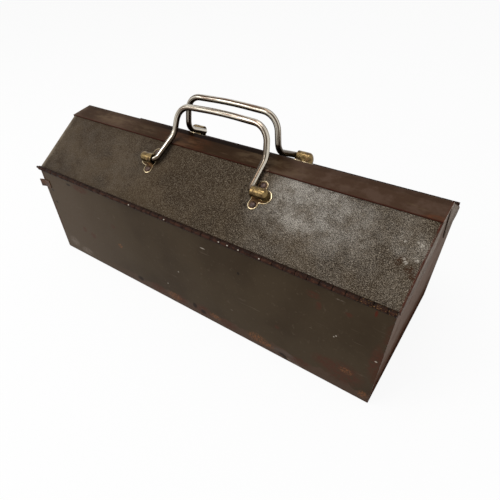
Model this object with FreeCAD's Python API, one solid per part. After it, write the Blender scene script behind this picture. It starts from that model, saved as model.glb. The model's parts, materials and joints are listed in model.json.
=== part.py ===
import FreeCAD, Part
import os
from math import asin, atan2, cos, degrees, hypot, pi, radians, sin, tan
from FreeCAD import Vector

# A steel toolbox with two lids that open like barn doors, a wire bail on each lid,
# and two trays that swing out on parallel arms. Millimetres, X along the box, front at -Y.

# Body
length = 508.0
depth = 200.0
wall_height = 138.4
sheet = 1.0
base_bend = 3.0
panel_flange = 12.0
panel_top_gap = 0.5
flange_below_leaf = 1.0

# Continuous hinges
knuckle_radius = 2.8
pin_radius = 1.5
running_fit = 0.05
leaf_thickness = 0.9
leaf_width = 18.0
knuckle_length = 12.7
cut_knuckle_length = 8.0
knuckle_gap = 0.3
knuckle_clear = 0.5
lid_edge_clear = 0.75
pin_overhang = 5.0

# Roof line: the strip's near edge lies ahead of the middle of the box, the ridge behind it
ridge_height = 194.1
ridge_behind = 9.3
strip_edge_ahead = 22.3
strip_drop = 3.9
lap_gap = 0.3
lap_start = 0.5
lap_width = 22.0
roof_bend = 3.0

# Lid end skirts
skirt_gap = 0.5
skirt_bend = 2.5
skirt_below_wall = 4.4
skirt_front_inset = 5.0
front_skirt_top = 3.0
front_skirt_foot = 16.0
rear_skirt_top = 4.0
rear_skirt_foot = 40.0
skirt_corner = 0.5
lap_end_inset = 1.5

# Tray linkage: distances inward from and above a hinge axis
tray_pivot = (40.0, -30.0)
link_offset = (13.2, -27.0)
arm_thickness = 1.5
arm_half_width = 5.5
arm_room = 6.0
lid_open = 120.0
stop_along = 18.0
stop_radius = 2.0
lid_arm_foot = (33.0, 66.0)
lid_arm_flange = 12.0

# Rivets and studs of the linkage
shank_radius = 2.5
collar_radius = 4.0
head_thickness = 1.0
side_gap = 0.3
loose_hole = 0.5

# Trays
tray_room = 3.0
tray_outer_wall = 12.0
tray_inner_wall = 86.0
tray_bottom = -65.0
tray_height = 41.5
tray_wall = 0.9
tray_bend = 3.0
tray_hem = 5.0

# Bails, with the length of each one's upright and the angle at which it stands at rest
wire_radius = 3.175
bail_centre = 2.0
foot_half_span = 68.5
elbow_half_span = 66.0
grip_half_span = 62.0
pivot_along = 63.3
pivot_above = 6.5
rest_gap = 0.3
lower_leg = 40.6
front_upright = (33.2, 73.1636)
rear_upright = (40.3, 92.4747)
foot_length = 17.0
foot_bend = 5.0
elbow_bend = 9.0
grip_bend = 20.0
grip_crown = 2.5
crown_share = 0.75

# Bail brackets
bracket_mouth = 3.8
dome_radius = 6.2
dome_cavity = 3.8
dome_length = 19.4
dome_end_play = 1.0
plate_thickness = 1.2
plate_margin = 2.2
ear_spread = 12.0
ear_inset = 5.0
ear_radius = 5.6
rivet_radius = 1.9
rivet_head_radius = 3.4
rivet_head_top = 2.0
rivet_head_height = 1.3
rivet_clench = 0.8

# Repeated small rounds are regular prisms, which keeps the mesh of the whole box light
round_sides = 8
pin_hole_sides = 6
wire_sides = 10
wire_bend_steps = 4
nose_steps = 3

# Bent lug on the front left corner
lug_height = 11.0
lug_below_wall = 14.9
lug_on_front = 12.0
lug_overhang = 7.0
lug_lift = 20.0

# Worked out from the driving dimensions
half_length = length / 2
half_depth = depth / 2
panel_face = half_length - sheet
hinge_y = half_depth - sheet - leaf_thickness + knuckle_radius
hinge_z = wall_height + knuckle_clear + knuckle_radius
lid_drop = knuckle_radius - leaf_thickness - sheet
lid_start = knuckle_radius + lid_edge_clear
skirt_inner = half_length + skirt_gap
skirt_outer = skirt_inner + sheet
skirt_bottom = wall_height - skirt_below_wall
strip_edge = (-strip_edge_ahead, ridge_height - strip_drop)
ridge = (ridge_behind, ridge_height)
strip_tilt = atan2(ridge[1] - strip_edge[1], ridge[0] - strip_edge[0])
bracket_start = bail_centre + foot_half_span + bracket_mouth
dome_end = bracket_start + dome_length
ear_x = bracket_start + ear_inset
arm_face = half_length - arm_room
arm_inner_face = arm_face - arm_thickness
tray_half_length = arm_inner_face - tray_room
arm_pivot = link_offset
arm_end = (tray_pivot[0] + link_offset[0], tray_pivot[1] + link_offset[1])
link_rest = atan2(tray_pivot[1], tray_pivot[0])


def save(name, *solids):
    shape = solids[0] if len(solids) == 1 else Part.makeCompound(list(solids))
    shape.exportStep("parts/" + name + ".step")


def at(y, z, x=0.0):
    return Vector(x, y, z)


def box(x_span, y_span, z_span):
    size = [span[1] - span[0] for span in (x_span, y_span, z_span)]
    return Part.makeBox(*size, Vector(x_span[0], y_span[0], z_span[0]))


def rod(radius, x_from, x_to, y, z):
    return Part.makeCylinder(radius, x_to - x_from, at(y, z, x_from), Vector(1, 0, 0))


def ring(radius, centre, turn=0.0, sides=round_sides):
    # corners of a regular outline whose first flat faces along turn, at the radius
    corner = radius / cos(pi / sides)
    return [step(centre, turn + pi * (2 * side + 1) / sides, corner) for side in range(sides)]


def bar(radius, x_from, x_to, centre):
    # a pin or rivet along X, with its corners on the radius
    return prism(ring(radius * cos(pi / round_sides), centre), x_from, x_to)


def bore(radius, x_from, x_to, centre, turn=0.0):
    # a hole or a rounded end along X, with its flats on the radius
    return prism(ring(radius, centre, turn), x_from, x_to)


def slab(points, z_from, z_to):
    # a flat layout in X and Y, thickened along Z
    corners = [Vector(x, y, z_from) for x, y in points]
    return Part.Face(Part.makePolygon(corners + corners[:1])).extrude(Vector(0, 0, z_to - z_from))


def rounded_edges(points, radii, closed=False):
    # straight runs through the points, with an arc of the given radius at each corner
    count = len(points)
    edges = []
    start = None if closed else points[0]
    first_start = None
    corners = range(count) if closed else range(1, count - 1)
    for index in corners:
        corner = points[index]
        back = (points[index - 1] - corner).normalize()
        ahead = (points[(index + 1) % count] - corner).normalize()
        radius = radii[index]
        if radius == 0:
            leave, enter = corner, corner
        else:
            half_angle = back.getAngle(ahead) / 2
            reach = radius / tan(half_angle)
            enter = corner + back * reach
            leave = corner + ahead * reach
            toward = (back + ahead).normalize()
            middle = corner + toward * (radius / sin(half_angle) - radius)
        if start is None:
            first_start = enter
        elif (enter - start).Length > 1e-6:
            edges.append(Part.makeLine(start, enter))
        if radius:
            edges.append(Part.Arc(enter, middle, leave).toShape())
        start = leave
    end = first_start if closed else points[-1]
    if (end - start).Length > 1e-6:
        edges.append(Part.makeLine(start, end))
    return edges


def outline(points, radii=None):
    corners = [at(*point) for point in points]
    return Part.Face(Part.Wire(rounded_edges(corners, radii or [0] * len(corners), closed=True)))


def prism(points, x_from, x_to, radii=None):
    face = outline(points, radii)
    face.translate(Vector(x_from, 0, 0))
    return face.extrude(Vector(x_to - x_from, 0, 0))


def mirror_x(shape):
    return shape.mirror(Vector(0, 0, 0), Vector(1, 0, 0))


def to_rear(shape):
    return shape.mirror(Vector(0, 0, 0), Vector(0, 1, 0))


def inward(point):
    # from distances inward of and above the front hinge axis to Y and Z
    return point[0] - hinge_y, point[1] + hinge_z


class Slope:
    # the outer face of a lid, seen on the front side: along it from the hinge, and above it

    def __init__(self, bend):
        away = bend[0] + hinge_y
        rise = bend[1] - hinge_z
        reach = hypot(away, rise)
        self.angle = atan2(rise, away) + asin(lid_drop / reach)
        self.length = (reach ** 2 - lid_drop ** 2) ** 0.5

    def point(self, along, above):
        height = above - lid_drop
        y = -hinge_y + along * cos(self.angle) - height * sin(self.angle)
        z = hinge_z + along * sin(self.angle) + height * cos(self.angle)
        return y, z


def step(point, angle, ahead, up=0.0):
    y = point[0] + ahead * cos(angle) - up * sin(angle)
    z = point[1] + ahead * sin(angle) + up * cos(angle)
    return y, z


# The front lid bends under the strip; the rear lid, mirrored to the front side, bends at the ridge
lap_face = step(strip_edge, strip_tilt, lap_start, -sheet - lap_gap)
front_slope = Slope(lap_face)
rear_slope = Slope((-ridge[0], ridge[1]))
strip_width = hypot(ridge[0] - strip_edge[0], ridge[1] - strip_edge[1])


def body_shell():
    outer = [(-half_depth, wall_height), (-half_depth, 0), (half_depth, 0), (half_depth, wall_height)]
    inner = [(half_depth - sheet, wall_height), (half_depth - sheet, sheet),
             (sheet - half_depth, sheet), (sheet - half_depth, wall_height)]
    inner_bend = base_bend - sheet
    radii = [0, base_bend, base_bend, 0, 0, inner_bend, inner_bend, 0]
    return prism(outer + inner, -half_length, half_length, radii)


def end_panel():
    # the right one: a flat gable with flanges turned in along the walls and the floor
    edge = half_depth - sheet
    under_lid = -sheet - panel_top_gap
    shoulder = wall_height - panel_top_gap
    front_start = front_slope.point(lid_start, under_lid)
    rear_start = rear_slope.point(lid_start, under_lid)
    front_top = front_slope.point(front_slope.length, under_lid - lap_gap)
    lap_under = step(front_top, strip_tilt, lap_width)
    rear_top = rear_slope.point(rear_slope.length - roof_bend, under_lid)
    points = [(-edge, sheet), (-edge, shoulder), (front_start[0], shoulder), front_start, front_top,
              (lap_under[0], lap_under[1]), (-rear_top[0], rear_top[1]),
              (-rear_start[0], rear_start[1]), (-rear_start[0], shoulder), (edge, shoulder), (edge, sheet)]
    corner = base_bend - sheet
    radii = [corner] + [0] * (len(points) - 2) + [corner]
    panel = prism(points, panel_face, half_length, radii)
    flange_top = hinge_z - leaf_width - flange_below_leaf
    flange_x = (panel_face - panel_flange, panel_face)
    low = sheet + corner
    front_flange = box(flange_x, (-edge, -edge + sheet), (low, flange_top))
    rear_flange = box(flange_x, (edge - sheet, edge), (low, flange_top))
    floor_flange = box(flange_x, (-edge + corner, edge - corner), (sheet, 2 * sheet))
    return panel.fuse([front_flange, rear_flange, floor_flange]).removeSplitter()


def knuckle_spans():
    # the strip was cut from stock, so its right end has a short knuckle
    spans = []
    right = half_length
    left = right - cut_knuckle_length
    while right > -half_length:
        spans.append((max(left, -half_length), right))
        right = left
        left -= knuckle_length
    return spans


def hinge_leaf(plate_points, tab_points, first, turn):
    # a leaf with every second knuckle, bored for the pin
    axis = (-hinge_y, hinge_z)
    leaf_end = panel_face - side_gap
    leaf = prism(plate_points, -leaf_end, leaf_end)
    pieces = []
    for left, right in knuckle_spans()[first::2]:
        span = (left + knuckle_gap / 2, right - knuckle_gap / 2)
        pieces.append(bore(knuckle_radius, *span, axis, turn))
        pieces.append(prism(tab_points, *span))
    pin_hole = ring(pin_radius + running_fit, axis, turn, pin_hole_sides)
    return leaf.fuse(pieces).cut(prism(pin_hole, -half_length, half_length)).removeSplitter()


def body_leaf():
    outer = sheet - half_depth
    inner = outer + leaf_thickness
    top = hinge_z - knuckle_radius - knuckle_clear
    plate = [(outer, hinge_z - leaf_width), (inner, hinge_z - leaf_width), (inner, top), (outer, top)]
    tab = [(outer, top), (inner, top), (inner, hinge_z), (outer, hinge_z)]
    return hinge_leaf(plate, tab, 0, 0.0)


def lid_leaf(slope):
    near = knuckle_radius + knuckle_clear
    low = -sheet - leaf_thickness
    plate = [slope.point(near, low), slope.point(leaf_width, low),
             slope.point(leaf_width, -sheet), slope.point(near, -sheet)]
    tab = [slope.point(0, low), slope.point(near, low), slope.point(near, -sheet), slope.point(0, -sheet)]
    return hinge_leaf(plate, tab, 1, slope.angle - pi / 2)


def hinge_pin():
    return rod(pin_radius, -half_length - pin_overhang, half_length, -hinge_y, hinge_z)


def top_flange(slope, tilt, width, x_end):
    # the roof bend and the flat beyond it, one sheet thick
    turn = slope.angle - tilt
    bend_start = slope.length - roof_bend * tan(turn / 2)
    corner = slope.point(slope.length, 0)
    inner_corner = slope.point(slope.length - sheet * tan(turn / 2), -sheet)
    end = step(corner, tilt, width)
    end_under = step(end, tilt, 0, -sheet)
    points = [slope.point(bend_start, 0), corner, end, end_under, inner_corner, slope.point(bend_start, -sheet)]
    return prism(points, -x_end, x_end, [0, roof_bend, 0, 0, roof_bend - sheet, 0])


def lid_pan(slope, tilt, skirt_top, skirt_foot):
    # the sloping sheet with both end skirts folded down from it
    turn = slope.angle - tilt
    bend_start = slope.length - roof_bend * tan(turn / 2)
    inner_corner = slope.point(slope.length - sheet * tan(turn / 2), -sheet)
    skirt_crest = step(inner_corner, tilt, (-skirt_top - inner_corner[0]) / cos(tilt))
    start = slope.point(lid_start, 0)
    points = [start, slope.point(bend_start, 0), slope.point(bend_start, -sheet), inner_corner, skirt_crest,
              (-skirt_foot, skirt_bottom), (start[0] + skirt_front_inset, skirt_bottom),
              (start[0] + skirt_corner, hinge_z - sheet)]
    outer = prism(points, -skirt_outer, skirt_outer)
    hollow = [slope.point(-lid_start, -sheet), slope.point(slope.length + lap_width, -sheet),
              (half_depth, 0), (-depth, 0)]
    inner = prism(hollow, -skirt_inner, skirt_inner)
    outer = outer.makeFillet(skirt_bend, slope_edges(outer, slope, skirt_outer, 0))
    inner = inner.makeFillet(skirt_bend - sheet, slope_edges(inner, slope, skirt_inner, -sheet))
    return outer.cut(inner)


def slope_edges(solid, slope, x_end, above):
    # the long edges where the sloping face meets the two ends
    on_face = at(*slope.point(slope.length / 2, above))
    edges = []
    for edge in solid.Edges:
        middle = edge.valueAt((edge.FirstParameter + edge.LastParameter) / 2)
        along = edge.valueAt(edge.LastParameter) - edge.valueAt(edge.FirstParameter)
        level = (middle.z - on_face.z) - (middle.y - on_face.y) * tan(slope.angle)
        if abs(abs(middle.x) - x_end) < 1e-6 and abs(level) < 1e-6 and abs(along.x) < 1e-6:
            edges.append(edge)
    return edges


def rivet_points():
    # brackets' ears: X on the right side, and distance along the slope
    return [(ear_x, pivot_along - ear_spread), (ear_x, pivot_along + ear_spread)]


def on_slope(shape, slope):
    # from a flat layout, with Y along the slope and Z above the lid, to its place
    shape.rotate(Vector(0, 0, 0), Vector(1, 0, 0), degrees(slope.angle))
    shape.translate(at(*slope.point(0, 0)))
    return shape


def both_sides(right):
    # right one and its mirror image about the middle of the bail
    left = mirror_x(right)
    left.translate(Vector(2 * bail_centre, 0, 0))
    return left, right


def rivet_holes(slope):
    holes = []
    for point in rivet_points():
        holes.extend(both_sides(on_slope(slab(ring(rivet_radius, point), -3 * sheet, sheet), slope)))
    return holes


def front_lid_panel():
    pan = lid_pan(front_slope, strip_tilt, front_skirt_top, front_skirt_foot)
    flange = top_flange(front_slope, strip_tilt, lap_width, skirt_outer)
    panel = pan.fuse(flange)
    end = box((half_length - lap_end_inset, skirt_outer + sheet), (-front_skirt_top, half_depth),
              (skirt_bottom, ridge_height))
    return panel.cut([end, mirror_x(end)] + rivet_holes(front_slope)).removeSplitter()


def rear_lid_panel():
    pan = lid_pan(rear_slope, -strip_tilt, rear_skirt_top, rear_skirt_foot)
    flange = top_flange(rear_slope, -strip_tilt, strip_width, skirt_outer)
    return pan.fuse(flange).cut(rivet_holes(rear_slope)).removeSplitter()


def nose(radius, end):
    # a quarter round that closes on the centre line at the end, in a few straight steps
    turns = [pi / 2 * count / nose_steps for count in range(nose_steps + 1)]
    return [(end - radius + radius * sin(turn), radius * cos(turn)) for turn in turns]


def bracket_plate():
    # the foot of the dome, with an ear on either side of it
    half = dome_radius + plate_margin
    edge = [(bracket_start, half)] + nose(half, dome_end + plate_margin)
    upper = [(x, pivot_along + across) for x, across in edge]
    lower = [(x, pivot_along - across) for x, across in reversed(edge[:-1])]
    plate = slab(upper + lower, 0, plate_thickness)
    for x, along in rivet_points():
        ear = slab(ring(ear_radius, (x, along)), 0, plate_thickness)
        neck = slab([(x - ear_radius, pivot_along), (x + ear_radius, pivot_along),
                     (x + ear_radius, along), (x - ear_radius, along)], 0, plate_thickness)
        plate = plate.fuse([ear, neck])
    return plate


def bracket(slope):
    # a stamped saddle: a plate, and a dome that is open towards the middle of the bail
    profile = [(bracket_start, dome_radius)] + nose(dome_radius, dome_end)
    corners = [Vector(x, 0, up) for x, up in [(bracket_start, 0)] + profile]
    upper = Part.Face(Part.makePolygon(corners + corners[:1])).revolve(Vector(), Vector(1, 0, 0), 360)
    upper.translate(Vector(0, pivot_along, pivot_above))
    left_edge = [(x, pivot_along + across) for x, across in profile]
    right_edge = [(x, pivot_along - across) for x, across in reversed(profile[:-1])]
    walls = slab(left_edge + right_edge, 0, pivot_above)
    cavity_end = bail_centre + foot_half_span + foot_length + dome_end_play
    hollow = [(pivot_along + dome_cavity, 0), (pivot_along + dome_cavity, pivot_above)]
    hollow += ring(dome_cavity, (pivot_along, pivot_above))[:round_sides // 2]
    hollow += [(pivot_along - dome_cavity, pivot_above), (pivot_along - dome_cavity, 0)]
    cavity = prism(hollow, bracket_start, cavity_end)
    holes = [slab(ring(rivet_radius, point), 0, plate_thickness) for point in rivet_points()]
    below = slab([(0, 0), (depth, 0), (depth, depth), (0, depth)], -dome_radius, 0)
    shape = bracket_plate().fuse([upper, walls]).cut([cavity, below] + holes).removeSplitter()
    return both_sides(on_slope(shape, slope))


def bracket_rivets(slope):
    rivets = []
    for point in rivet_points():
        under = -sheet - rivet_clench
        shank = slab(ring(rivet_radius, point), under, plate_thickness)
        clench = slab(ring(rivet_head_radius, point), under, -sheet)
        rims = []
        for radius, z in ((rivet_head_radius, 0), (rivet_head_top, rivet_head_height)):
            corners = [Vector(x, y, plate_thickness + z) for x, y in ring(radius, point)]
            rims.append(Part.makePolygon(corners + corners[:1]))
        head = Part.makeLoft(rims, True, True)
        rivets.extend(both_sides(on_slope(shank.fuse([clench, head]).removeSplitter(), slope)))
    return rivets


def resting_rise(pivot, edge):
    # the angle of a lower leg whose wire lies just clear of a roof edge
    reach = hypot(edge[0] - pivot[0], edge[1] - pivot[1])
    return atan2(edge[1] - pivot[1], edge[0] - pivot[0]) + asin((wire_radius + rest_gap) / reach)


def bent_path(points, radii):
    # the runs of a wire, with each bend in a few short steps
    path = [points[0]]
    for before, corner, after, radius in zip(points, points[1:], points[2:], radii):
        back = (before - corner).normalize()
        ahead = (after - corner).normalize()
        half_angle = back.getAngle(ahead) / 2
        centre = corner + (back + ahead).normalize() * (radius / sin(half_angle))
        start = corner + back * (radius / tan(half_angle)) - centre
        end = corner + ahead * (radius / tan(half_angle)) - centre
        turn = pi - 2 * half_angle
        for count in range(wire_bend_steps + 1):
            done = turn * count / wire_bend_steps
            path.append(centre + start * (sin(turn - done) / sin(turn)) + end * (sin(done) / sin(turn)))
    return path + [points[-1]]


def bail(slope, edge, upright):
    # one bent wire: feet turned outward into the brackets, legs, elbows and grip
    upright_length, upright_angle = upright
    stand = radians(upright_angle)
    pivot = slope.point(pivot_along, pivot_above)
    elbow = step(pivot, resting_rise(pivot, edge), lower_leg)
    grip = step(elbow, stand, upright_length)
    crown = step(grip, stand, grip_crown)
    right = [at(*pivot, foot_half_span + foot_length), at(*pivot, foot_half_span),
             at(*elbow, elbow_half_span), at(*grip, grip_half_span)]
    left = [Vector(-point.x, point.y, point.z) for point in reversed(right)]
    points = right + [at(*crown)] + left
    crown_bend = crown_share * grip_half_span ** 2 / (2 * grip_crown)
    bends = [foot_bend, elbow_bend, grip_bend]
    path = Part.makePolygon(bent_path(points, bends + [crown_bend] + bends[::-1]))
    corners = [step(pivot, 2 * pi * side / wire_sides, wire_radius) for side in range(wire_sides)]
    corners = [at(*corner, points[0].x) for corner in corners]
    section = Part.makePolygon(corners + corners[:1])
    wire = path.makePipeShell([section], True, False, 1)
    wire.translate(Vector(bail_centre, 0, 0))
    return wire


def lid_arm(slope):
    # the right one: a plate that hangs from the lid, with a foot turned in along the lid
    pivot = inward(tray_pivot)
    plate_x = (arm_inner_face, arm_face)
    away = tray_pivot[0] * cos(slope.angle) + tray_pivot[1] * sin(slope.angle)
    down = -tray_pivot[0] * sin(slope.angle) + tray_pivot[1] * cos(slope.angle) + lid_drop
    near, far = lid_arm_foot
    top = -sheet
    points = [slope.point(near, top), slope.point(away - arm_half_width, down),
              slope.point(away + arm_half_width, down), slope.point(far, top - 2 * arm_half_width),
              slope.point(far, top)]
    plate = prism(points, *plate_x).fuse(bore(arm_half_width, *plate_x, pivot, slope.angle))
    foot = prism([slope.point(near, top), slope.point(near, top - arm_thickness),
                  slope.point(far, top - arm_thickness), slope.point(far, top)],
                 arm_inner_face - lid_arm_flange, arm_face)
    hole = bar(shank_radius, *plate_x, pivot)
    return plate.fuse(foot).cut(hole).removeSplitter()


def swing_arm():
    # the right one: a flat link with a running hole at the body and a riveted one at the tray
    low = inward(arm_pivot)
    high = inward(arm_end)
    plate_x = (arm_inner_face, arm_face)
    across = step((0, 0), link_rest, 0, arm_half_width)
    points = [(low[0] + across[0], low[1] + across[1]), (high[0] + across[0], high[1] + across[1]),
              (high[0] - across[0], high[1] - across[1]), (low[0] - across[0], low[1] - across[1])]
    ends = [bore(arm_half_width, *plate_x, low, link_rest), bore(arm_half_width, *plate_x, high, link_rest)]
    holes = [rod(shank_radius + running_fit, *plate_x, *low), bar(shank_radius, *plate_x, high)]
    return prism(points, *plate_x).fuse(ends).cut(holes).removeSplitter()


def link_rivet(point):
    # right side: head on the arm, collar between arm and tray, head inside the tray
    centre = inward(point)
    outer_head = bar(collar_radius, arm_face, arm_face + head_thickness, centre)
    collar = bar(collar_radius, tray_half_length + side_gap, arm_inner_face, centre)
    tray_inside = tray_half_length - tray_wall - side_gap
    inner_head = bar(collar_radius, tray_inside - head_thickness, tray_inside, centre)
    shank = bar(shank_radius, tray_inside - head_thickness, arm_face + head_thickness, centre)
    return shank.fuse([outer_head, collar, inner_head]).removeSplitter()


def arm_stud():
    # right side: welded to the end panel, with a shoulder, a bearing and a head
    centre = inward(arm_pivot)
    shoulder = bar(collar_radius, arm_face + side_gap, panel_face, centre)
    bearing_end = arm_inner_face - side_gap
    bearing = bar(shank_radius, bearing_end - head_thickness, panel_face, centre)
    head = bar(collar_radius, bearing_end - head_thickness, bearing_end, centre)
    return bearing.fuse([shoulder, head]).removeSplitter()


def stop_stud():
    # right side: the swing arm comes to rest beside it when the lid is fully open
    angle = link_rest + radians(lid_open)
    beside = arm_half_width + stop_radius + side_gap
    point = step(arm_pivot, angle, stop_along, beside)
    return bar(stop_radius, arm_inner_face, panel_face, inward(point))


def tray():
    # a folded pan with hemmed rims, closed by two end plates with two rivet holes each
    floor = hinge_z + tray_bottom
    rim = floor + tray_height
    outer, inner = [distance - hinge_y for distance in (tray_outer_wall, tray_inner_wall)]
    around = [(outer, rim), (outer, floor), (inner, floor), (inner, rim)]
    bends = [0, tray_bend, tray_bend, 0]
    hem = 2 * tray_wall
    hem_foot = rim - tray_hem
    inside = [(inner - hem, rim), (inner - hem, hem_foot), (inner - tray_wall, hem_foot),
              (inner - tray_wall, floor + tray_wall), (outer + tray_wall, floor + tray_wall),
              (outer + tray_wall, hem_foot), (outer + hem, hem_foot), (outer + hem, rim)]
    inside_bends = [0, 0, 0, tray_bend - tray_wall, tray_bend - tray_wall, 0, 0, 0]
    pan = prism(around + inside, -tray_half_length, tray_half_length, bends + inside_bends)
    ends = [prism(around, face, face + back, bends)
            for face, back in ((tray_half_length, -tray_wall), (-tray_half_length, tray_wall))]
    running_hole = rod(shank_radius + running_fit, -half_length, half_length, *inward(tray_pivot))
    open_hole = bore(shank_radius + loose_hole, -half_length, half_length, inward(arm_end))
    return pan.fuse(ends).cut([running_hole, open_hole]).removeSplitter()


def corner_lug():
    # a strip lying on the front wall that runs past the left corner and bends forward
    outer = -half_depth
    corner = -half_length
    lug_top = wall_height - lug_below_wall
    heights = (lug_top - lug_height, lug_top)
    on_wall = box((corner, corner + lug_on_front), (outer - sheet, outer), heights)
    end = box((corner - lug_overhang, corner), (outer - sheet, outer), heights)
    end.rotate(Vector(corner, outer, 0), Vector(0, 0, 1), lug_lift)
    return on_wall.fuse(end).removeSplitter()


def four_corners(shape):
    front = [mirror_x(shape), shape]
    return front + [to_rear(piece) for piece in front]


def build():
    os.makedirs("parts", exist_ok=True)
    save("body_shell", body_shell())
    save("right_end_panel", end_panel())
    save("left_end_panel", mirror_x(end_panel()))
    save("left_corner_lug", corner_lug())
    save("arm_pivot_studs", *four_corners(arm_stud()))
    save("arm_stop_studs", *four_corners(stop_stud()))
    panels = {"front": front_lid_panel(), "rear": rear_lid_panel()}
    slopes = {"front": front_slope, "rear": rear_slope}
    bails = {"front": (strip_edge, front_upright), "rear": ((-ridge[0], ridge[1]), rear_upright)}
    for side in ("front", "rear"):
        place = to_rear if side == "rear" else (lambda shape: shape)
        slope = slopes[side]
        save(side + "_hinge_body_leaf", place(body_leaf()))
        save(side + "_hinge_lid_leaf", place(lid_leaf(slope)))
        save(side + "_hinge_pin", place(hinge_pin()))
        save(side + "_lid_panel", place(panels[side]))
        left, right = bracket(slope)
        save(side + "_left_bracket", place(left))
        save(side + "_right_bracket", place(right))
        save(side + "_bracket_rivets", *[place(rivet) for rivet in bracket_rivets(slope)])
        save(side + "_bail", place(bail(slope, *bails[side])))
        save(side + "_tray", place(tray()))
        rivets = [place(link_rivet(tray_pivot)), place(mirror_x(link_rivet(tray_pivot)))]
        save(side + "_tray_pivot_rivets", *rivets)
        for end, hand in (("left", mirror_x), ("right", lambda shape: shape)):
            save(f"{side}_{end}_lid_arm", place(hand(lid_arm(slope))))
            save(f"{side}_{end}_swing_arm", place(hand(swing_arm())))
            save(f"{side}_{end}_swing_arm_rivet", place(hand(link_rivet(arm_end))))


build()
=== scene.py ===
import json
from math import atan2, cos, hypot, pi, radians, sin, tan

import bmesh
import bpy
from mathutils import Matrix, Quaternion, Vector


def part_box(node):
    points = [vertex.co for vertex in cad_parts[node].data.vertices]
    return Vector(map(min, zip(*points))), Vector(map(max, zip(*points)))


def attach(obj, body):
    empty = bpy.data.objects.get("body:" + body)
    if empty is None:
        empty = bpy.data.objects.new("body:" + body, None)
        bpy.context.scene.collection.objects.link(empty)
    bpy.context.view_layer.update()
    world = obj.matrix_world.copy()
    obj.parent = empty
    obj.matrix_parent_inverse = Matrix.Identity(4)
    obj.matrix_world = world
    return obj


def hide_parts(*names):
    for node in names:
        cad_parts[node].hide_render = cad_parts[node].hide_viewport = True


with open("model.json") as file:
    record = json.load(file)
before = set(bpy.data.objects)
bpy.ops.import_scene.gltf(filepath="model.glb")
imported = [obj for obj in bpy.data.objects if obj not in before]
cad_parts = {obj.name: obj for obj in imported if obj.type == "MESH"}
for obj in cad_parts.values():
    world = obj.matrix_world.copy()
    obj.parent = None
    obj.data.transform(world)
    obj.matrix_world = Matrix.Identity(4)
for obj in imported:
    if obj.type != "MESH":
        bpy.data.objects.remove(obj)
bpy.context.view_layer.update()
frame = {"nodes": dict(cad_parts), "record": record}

nodes = frame["nodes"]
mm = 0.001
jointPlace = {joint["name"]: Vector(joint["pos_m"]) for joint in frame["record"]["behaviour"]["joints"]}
boxLow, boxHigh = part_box("body_shell")
stripLow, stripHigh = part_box("rear_lid_panel")
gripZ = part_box("front_bail")[1].z


def roofEdges():
    # where the two bails rest, as (Y, Z): the strip's front edge and the ridge
    points = [vertex.co for vertex in nodes["rear_lid_panel"].data.vertices]
    lowest = min(point.y for point in points)
    strip = max((point for point in points if point.y < lowest + 0.0003), key=lambda point: point.z)
    ridge = max(points, key=lambda point: point.z)
    return {"front": (strip.y, strip.z), "rear": (ridge.y, ridge.z)}


bailRest = roofEdges()
ridgeY = bailRest["rear"][0]
print("frame loaded:", len(nodes), "nodes")


# Camera, as the photo was taken: close, from the front right corner
camera = {"place": (0.2834, -0.3645, 0.4003), "azimuth": 38.57, "down": 42.07, "roll": -3.56,
          "lens": 29.16, "shift": (0.0466, 0.0526)}


def placeCamera():
    azimuth, down = radians(camera["azimuth"]), radians(camera["down"])
    forward = Vector((-sin(azimuth) * cos(down), cos(azimuth) * cos(down), -sin(down)))
    data = bpy.data.cameras.new("camera")
    data.lens = camera["lens"]
    data.sensor_width = 36
    data.shift_x, data.shift_y = camera["shift"]
    data.clip_start = 0.01
    eye = bpy.data.objects.new("camera", data)
    eye.location = camera["place"]
    turn = forward.to_track_quat("-Z", "Y") @ Quaternion((0, 0, 1), radians(camera["roll"]))
    eye.rotation_mode = "QUATERNION"
    eye.rotation_quaternion = turn
    bpy.context.scene.collection.objects.link(eye)
    bpy.context.scene.camera = eye


placeCamera()
print("camera placed")


# Small helpers for material nodes
def paint(red, green, blue):
    # a colour as the eye reads it, 0 to 255, to the values that the shader wants
    shares = [part / 255 for part in (red, green, blue)]
    linear = [share / 12.92 if share < 0.0404 else ((share + 0.055) / 1.055) ** 2.4 for share in shares]
    return (*linear, 1.0)


def newMaterial(name, roughness=0.5, metallic=0.0, specular=0.5):
    material = bpy.data.materials.new(name)
    material.use_nodes = True
    tree = material.node_tree
    tree.nodes.clear()
    shader = tree.nodes.new("ShaderNodeBsdfPrincipled")
    output = tree.nodes.new("ShaderNodeOutputMaterial")
    tree.links.new(shader.outputs[0], output.inputs["Surface"])
    shader.inputs["Roughness"].default_value = roughness
    shader.inputs["Metallic"].default_value = metallic
    shader.inputs["Specular IOR Level"].default_value = specular
    place = tree.nodes.new("ShaderNodeTexCoord").outputs["Object"]
    return material, tree, shader, place


def feed(tree, value, socket):
    if isinstance(value, bpy.types.NodeSocket):
        tree.links.new(value, socket)
    else:
        socket.default_value = value


def noise(tree, place, scale, detail=3.0, roughness=0.5, stretch=None):
    if stretch:
        mapping = tree.nodes.new("ShaderNodeMapping")
        mapping.inputs["Scale"].default_value = stretch
        tree.links.new(place, mapping.inputs["Vector"])
        place = mapping.outputs[0]
    node = tree.nodes.new("ShaderNodeTexNoise")
    node.inputs["Scale"].default_value = scale
    node.inputs["Detail"].default_value = detail
    node.inputs["Roughness"].default_value = roughness
    tree.links.new(place, node.inputs["Vector"])
    return node.outputs["Fac"]


def ranged(tree, value, low, high, toLow=0.0, toHigh=1.0):
    node = tree.nodes.new("ShaderNodeMapRange")
    node.interpolation_type = "SMOOTHSTEP"
    for socket, given in zip(node.inputs, (value, low, high, toLow, toHigh)):
        feed(tree, given, socket)
    return node.outputs[0]


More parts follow.
